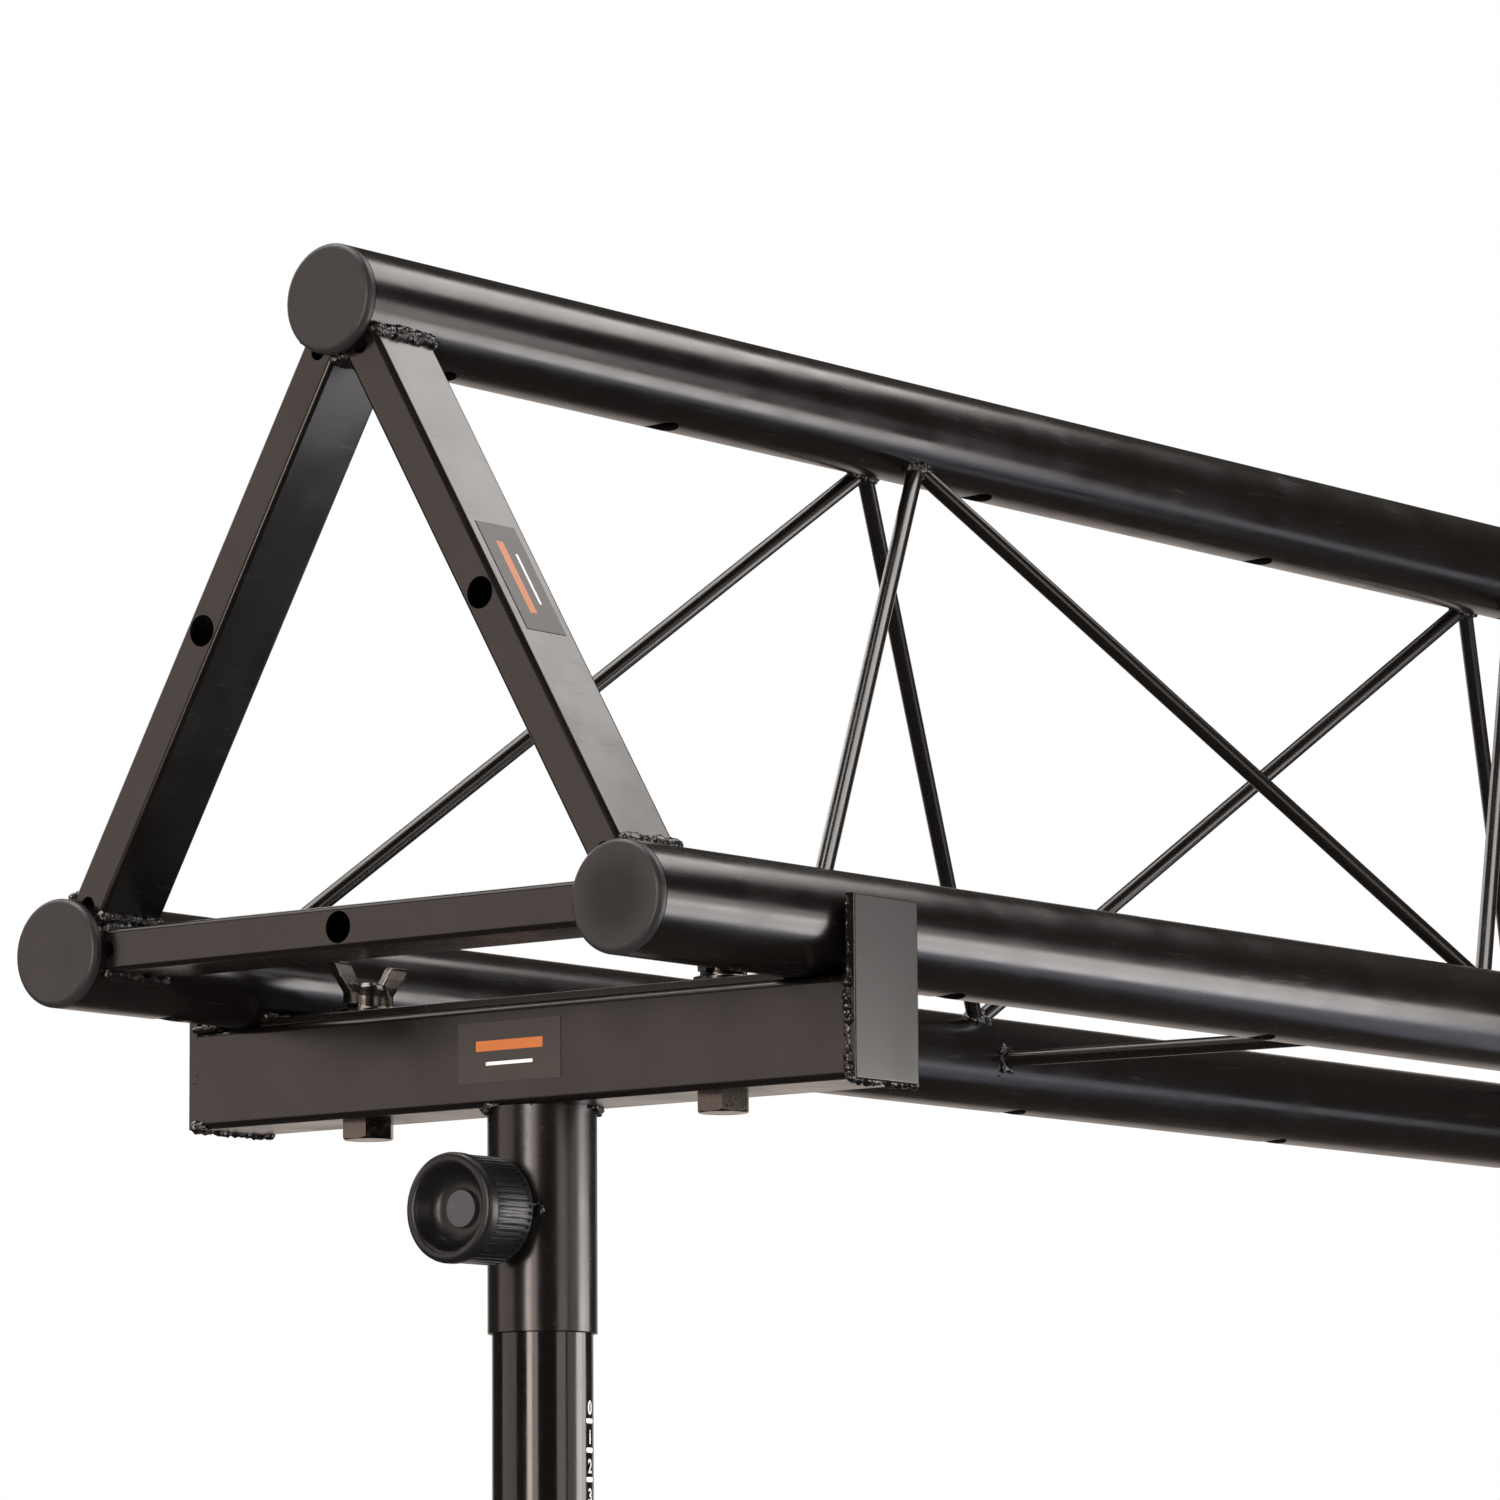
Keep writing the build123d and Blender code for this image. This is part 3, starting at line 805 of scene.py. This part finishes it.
def lay_floor(radius):
    """A round pale floor, which gloss doesn't mirror."""
    deselect()
    bpy.ops.mesh.primitive_circle_add(
        vertices=128, radius=radius, fill_type="NGON", location=(0.4, 0.0, 0.0)
    )
    floor = settle(bpy.context.object)
    floor.name = "floor"
    material, tree, place = blank("pale_floor")
    # seamless studio paper: matt, with cloudy tones about 70 mm across
    clouds = noise(tree, place, 14.0, 2.0)
    tint = blend(tree, clouds, shade(linear("#efedeb"), 1.0), shade(linear("#f7f6f5"), 1.0))
    glow = {"Emission Color": (1, 1, 1, 1), "Emission Strength": 0.35}
    surface(tree, {"Base Color": tint, "Roughness": 0.9, **glow})
    floor.data.materials.append(material)
    floor.visible_glossy = False
    return floor


def hang_lights(scene, brightness):
    """The rectangular softboxes of the table, level and facing their way."""
    for name, place, facing, width, height, radiance, tint in PANELS:
        data = bpy.data.lights.new(name, "AREA")
        data.shape = "RECTANGLE"
        data.size = width
        data.size_y = height
        data.color = linear(tint)
        data.energy = radiance * math.pi * width * height * brightness
        lamp = bpy.data.objects.new(name, data)
        scene.collection.objects.link(lamp)
        back = -Vector(facing).normalized()
        level = Vector((0, 0, 1)).cross(back).normalized()
        turn = Matrix((level, back.cross(level), back)).transposed()
        lamp.matrix_world = Matrix.Translation(place) @ turn.to_4x4()
        lamp.visible_camera = False


def fill_world(scene):
    """White for the camera, and a dim warm room for everything that is lit or mirrors."""
    world = bpy.data.worlds.new("studio")
    scene.world = world
    world.use_nodes = True
    tree = world.node_tree
    tree.nodes.clear()
    seen = add(tree, "ShaderNodeBackground", {"Color": (1.0, 1.0, 1.0, 1.0), "Strength": 1.0})
    room = add(tree, "ShaderNodeBackground", {"Color": linear("#e8dcd2") + (1.0,), "Strength": 0.07})
    path = add(tree, "ShaderNodeLightPath")
    inputs = {0: path.outputs["Is Camera Ray"], 1: room.outputs[0], 2: seen.outputs[0]}
    both = add(tree, "ShaderNodeMixShader", inputs)
    add(tree, "ShaderNodeOutputWorld", {"Surface": both.outputs[0]})
    scene.view_settings.view_transform = "Standard"


def aim_camera(scene, studio):
    """The camera, turned by its heading, pitch and roll."""
    data = bpy.data.cameras.new("camera")
    data.sensor_width = 36.0
    data.lens = studio.lens
    data.clip_start = 0.05
    data.clip_end = 50.0
    camera = bpy.data.objects.new("camera", data)
    scene.collection.objects.link(camera)
    ahead = Vector(
        (
            math.cos(studio.heading) * math.cos(studio.pitch),
            math.sin(studio.heading) * math.cos(studio.pitch),
            math.sin(studio.pitch),
        )
    )
    level_right = ahead.cross(Vector((0, 0, 1))).normalized()
    level_up = level_right.cross(ahead)
    right = level_right * math.cos(studio.roll) + level_up * math.sin(studio.roll)
    up = level_up * math.cos(studio.roll) - level_right * math.sin(studio.roll)
    turn = Matrix((right, up, -ahead)).transposed()
    camera.matrix_world = Matrix.Translation(studio.camera) @ turn.to_4x4()
    scene.camera = camera


# Operators


# how the names of the powder-coated CAD nodes start
COATED = (
    "chord_",
    "frame_bar_",
    "strut_",
    "floor_tie_",
    "strap_",
    "crossbar",
    "end_plate_",
    "mast_socket",
    "clamp_nut",
)


class TRUSS_OT_coat(bpy.types.Operator):
    """Powder-coats the truss and the adapter"""

    bl_idname = "truss.coat"
    bl_label = "Coat Steel"

    def execute(self, context):
        colours = context.scene.truss_finish
        coat = powder_coat("truss_powder_coat", colours.coat, 0.22, 0.035)
        names = [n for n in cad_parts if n.startswith(COATED) and n != "crossbar_bolts"]
        paint(coat, *names)
        paint(powder_coat("mast_gloss_coat", colours.mast, 0.13, 0.02), "mast_tube")
        return {"FINISHED"}


class TRUSS_OT_mould(bpy.types.Operator):
    """Gives the end caps and the knob their plastics"""

    bl_idname = "truss.mould"
    bl_label = "Mould Plastics"

    def execute(self, context):
        colours = context.scene.truss_finish
        look = {"smooth": 0.46, "grain_mm": 1.1, "depth": 0.25, "mottle": 0.12}
        cap = moulded("cap_polyethylene", colours.cap, **look)
        paint(cap, *[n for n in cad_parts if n.startswith("cap_") and n != "cap_front_near"])
        # the near front cap's face gets a painted shade in its middle, as a shallow dish would show
        low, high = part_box("cap_front_near")
        face = Vector((low.x, (low.y + high.y) / 2, (low.z + high.z) / 2))
        radius = (high.z - low.z) / 2
        dish_shaded_cap = moulded("cap_polyethylene_dish_shade", colours.cap, **look, painted_dish_shade=(face, radius))
        paint(dish_shaded_cap, "cap_front_near")
        paint(moulded("knob_nylon", colours.knob, 0.37, 0.7, 0.35, 0.15), "knob")
        paint(moulded("knob_insert_nylon", colours.insert, 0.6, 0.6, 0.4, 0.15), "knob_cap")
        return {"FINISHED"}


class TRUSS_OT_plate(bpy.types.Operator):
    """Plates the bolts, washers, nuts and the clamp screw"""

    bl_idname = "truss.plate"
    bl_label = "Plate Fasteners"

    def execute(self, context):
        colours = context.scene.truss_finish
        zinc = plated("black_zinc_plate", colours.zinc, 0.2, 4.0)
        paint(zinc, "crossbar_bolts", "clamp_screw")
        paint(zinc, "washer_front", "washer_rear", "wing_nut_front", "wing_nut_rear")
        paint(plated("pad_brass", linear("#b08a4a"), 0.3, 3.0), "clamp_pad")
        return {"FINISHED"}


class TRUSS_OT_labels(bpy.types.Operator):
    """Prints the two labels with plain stripes"""

    bl_idname = "truss.labels"
    bl_label = "Labels"

    def execute(self, context):
        colours = context.scene.truss_finish
        # colour, middle across and along the label, half width across and along it
        stripes = (
            (colours.stripe, 0.0, 0.0022, 0.0150, 0.0018),
            (colours.print_white, 0.0, -0.0040, 0.0105, 0.0006),
        )
        centre = middle("label_crossbar")
        across, along = (0, -1, 0), (0, 0, 1)
        film = vinyl("crossbar_label_vinyl", colours.label, centre, across, along, stripes)
        paint(film, "label_crossbar")
        up = (chord_line("top")[0] - chord_line("front")[0]).normalized()
        centre = middle("label_frame_bar")
        film = vinyl("bar_label_vinyl", colours.label, centre, up, (-1, 0, 0), stripes)
        paint(film, "label_frame_bar")
        return {"FINISHED"}


class TRUSS_OT_weld_frames(bpy.types.Operator):
    """Welds the end frames' bars to the chords"""

    bl_idname = "truss.weld_frames"
    bl_label = "Weld End Frames"

    def execute(self, context):
        for end in ("near", "far"):
            finish(bar_end_beads(end), "bridge", weld_material())
        return {"FINISHED"}


class TRUSS_OT_weld_lattice(bpy.types.Operator):
    """Welds the lattice rods and the floor ties to the chords"""

    bl_idname = "truss.weld_lattice"
    bl_label = "Weld Lattice"

    def execute(self, context):
        for lower in ("front", "rear"):
            finish(lattice_beads(lower), "bridge", weld_material())
        finish(tie_beads(), "bridge", weld_material())
        return {"FINISHED"}


class TRUSS_OT_weld_adapter(bpy.types.Operator):
    """Welds the straps to the chords, and the plates and the socket to the crossbar"""

    bl_idname = "truss.weld_adapter"
    bl_label = "Weld Adapter"

    def execute(self, context):
        finish(strap_beads(), "bridge", weld_material())
        finish(adapter_beads(), "bridge", weld_material())
        return {"FINISHED"}


class TRUSS_OT_wing_nuts(bpy.types.Operator):
    """Models the two cast wing nuts"""

    bl_idname = "truss.wing_nuts"
    bl_label = "Wing Nuts"

    def execute(self, context):
        shape = wing_nut_shape()
        for side in ("front", "rear"):
            low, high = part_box("wing_nut_" + side)
            seat = Vector(((low.x + high.x) / 2, (low.y + high.y) / 2, low.z))
            nut = copy_to(shape, Matrix.Translation(seat), "wing_nut_cast_" + side)
            finish(nut, "wing_nut_" + side, bpy.data.materials["black_zinc_plate"])
            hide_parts("wing_nut_" + side)
        discard([shape])
        return {"FINISHED"}


class TRUSS_OT_knob(bpy.types.Operator):
    """Models the ribbed clamp knob"""

    bl_idname = "truss.knob"
    bl_label = "Clamp Knob"

    def execute(self, context):
        low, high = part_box("knob")
        back = Vector((high.x, (low.y + high.y) / 2, (low.z + high.z) / 2))
        shape = knob_shape()
        turn = Matrix.Rotation(math.radians(-90), 4, "Y")
        knob = copy_to(shape, Matrix.Translation(back) @ turn, "knob_ribbed")
        discard([shape])
        finish(knob, "clamp_knob", bpy.data.materials["knob_nylon"])
        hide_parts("knob")
        return {"FINISHED"}


class TRUSS_OT_scale(bpy.types.Operator):
    """Prints the centimetre scale on the mast"""

    bl_idname = "truss.scale"
    bl_label = "Mast Scale"

    def execute(self, context):
        finish(printed_marks(), "mast", ink(context.scene.truss_finish.print_white))
        return {"FINISHED"}


class TRUSS_OT_studio(bpy.types.Operator):
    """Sets the floor, the lights and the camera"""

    bl_idname = "truss.studio"
    bl_label = "Studio"

    def execute(self, context):
        studio = context.scene.truss_studio
        floor = lay_floor(studio.floor_radius)
        hang_lights(context.scene, studio.brightness)
        fill_world(context.scene)
        aim_camera(context.scene, studio)
        return {"FINISHED"}


class TRUSS_PT_panel(bpy.types.Panel):
    """Lists the steps that build the truss's looks"""

    bl_label = "Lighting Truss Section"
    bl_idname = "TRUSS_PT_panel"
    bl_space_type = "VIEW_3D"
    bl_region_type = "UI"
    bl_category = "Truss"

    def draw(self, context):
        for step in STEPS:
            self.layout.operator(step.bl_idname)


STEPS = (
    TRUSS_OT_coat,
    TRUSS_OT_mould,
    TRUSS_OT_plate,
    TRUSS_OT_labels,
    TRUSS_OT_weld_frames,
    TRUSS_OT_weld_lattice,
    TRUSS_OT_weld_adapter,
    TRUSS_OT_wing_nuts,
    TRUSS_OT_knob,
    TRUSS_OT_scale,
    TRUSS_OT_studio,
)
SETTINGS = (
    ("truss_finish", TrussFinish),
    ("truss_welds", TrussWelds),
    ("truss_scale", TrussScale),
    ("truss_studio", TrussStudio),
)


def register():
    for name, group in SETTINGS:
        bpy.utils.register_class(group)
        setattr(bpy.types.Scene, name, PointerProperty(type=group))
    for step in STEPS:
        bpy.utils.register_class(step)
    bpy.utils.register_class(TRUSS_PT_panel)


def unregister():
    bpy.utils.unregister_class(TRUSS_PT_panel)
    for step in reversed(STEPS):
        bpy.utils.unregister_class(step)
    for name, group in reversed(SETTINGS):
        delattr(bpy.types.Scene, name)
        bpy.utils.unregister_class(group)


def main():
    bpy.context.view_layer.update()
    register()
    for step in STEPS:
        space, action = step.bl_idname.split(".")
        getattr(getattr(bpy.ops, space), action)()


if __name__ == "__main__":
    main()
